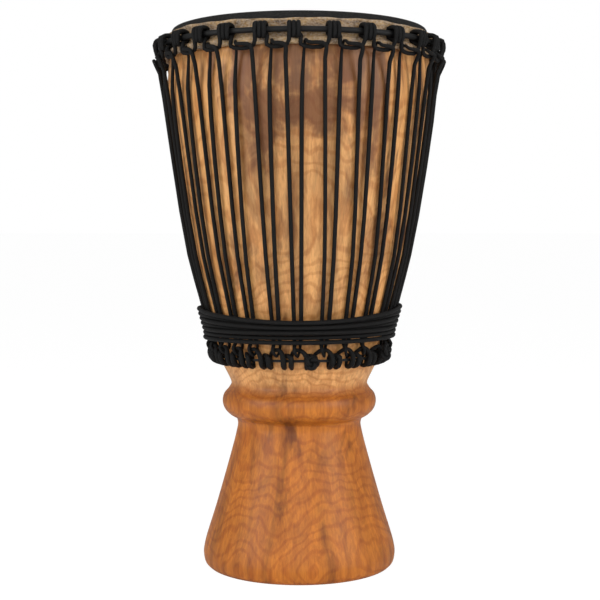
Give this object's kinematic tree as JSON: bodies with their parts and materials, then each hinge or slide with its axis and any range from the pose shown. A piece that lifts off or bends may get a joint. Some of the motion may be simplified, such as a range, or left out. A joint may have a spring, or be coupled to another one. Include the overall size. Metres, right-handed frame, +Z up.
{
  "type": "bougarabou drum",
  "caption": "Free-standing single-headed goblet drum of carved wood with a laced hide head, hitched rings and a wound rope tail.",
  "frame": {"origin": "centre of the foot's flat underside", "axes": "+Z up along the drum's axis, -Y towards the pictured side"},
  "size_m": [0.3254, 0.3256, 0.6],
  "materials": {
    "carved_wood": "satin oiled hardwood",
    "hide": "black hair-side hide",
    "bare_steel": "bare drawn wire",
    "black_steel": "satin black",
    "cord": "matte black braid"
  },
  "bodies": {
    "root": {"shell": "carved_wood", "drum_skin": "hide", "flesh_ring": "bare_steel", "crown_ring": "black_steel", "bottom_ring": "black_steel", "crown_loop_rope": "cord", "bottom_loop_rope": "cord", "lacing_rope": "cord", "tail_winding": "cord", "tail_end_knot": "cord", "loop_rope_knot": "cord"}
  },
  "joints": []
}
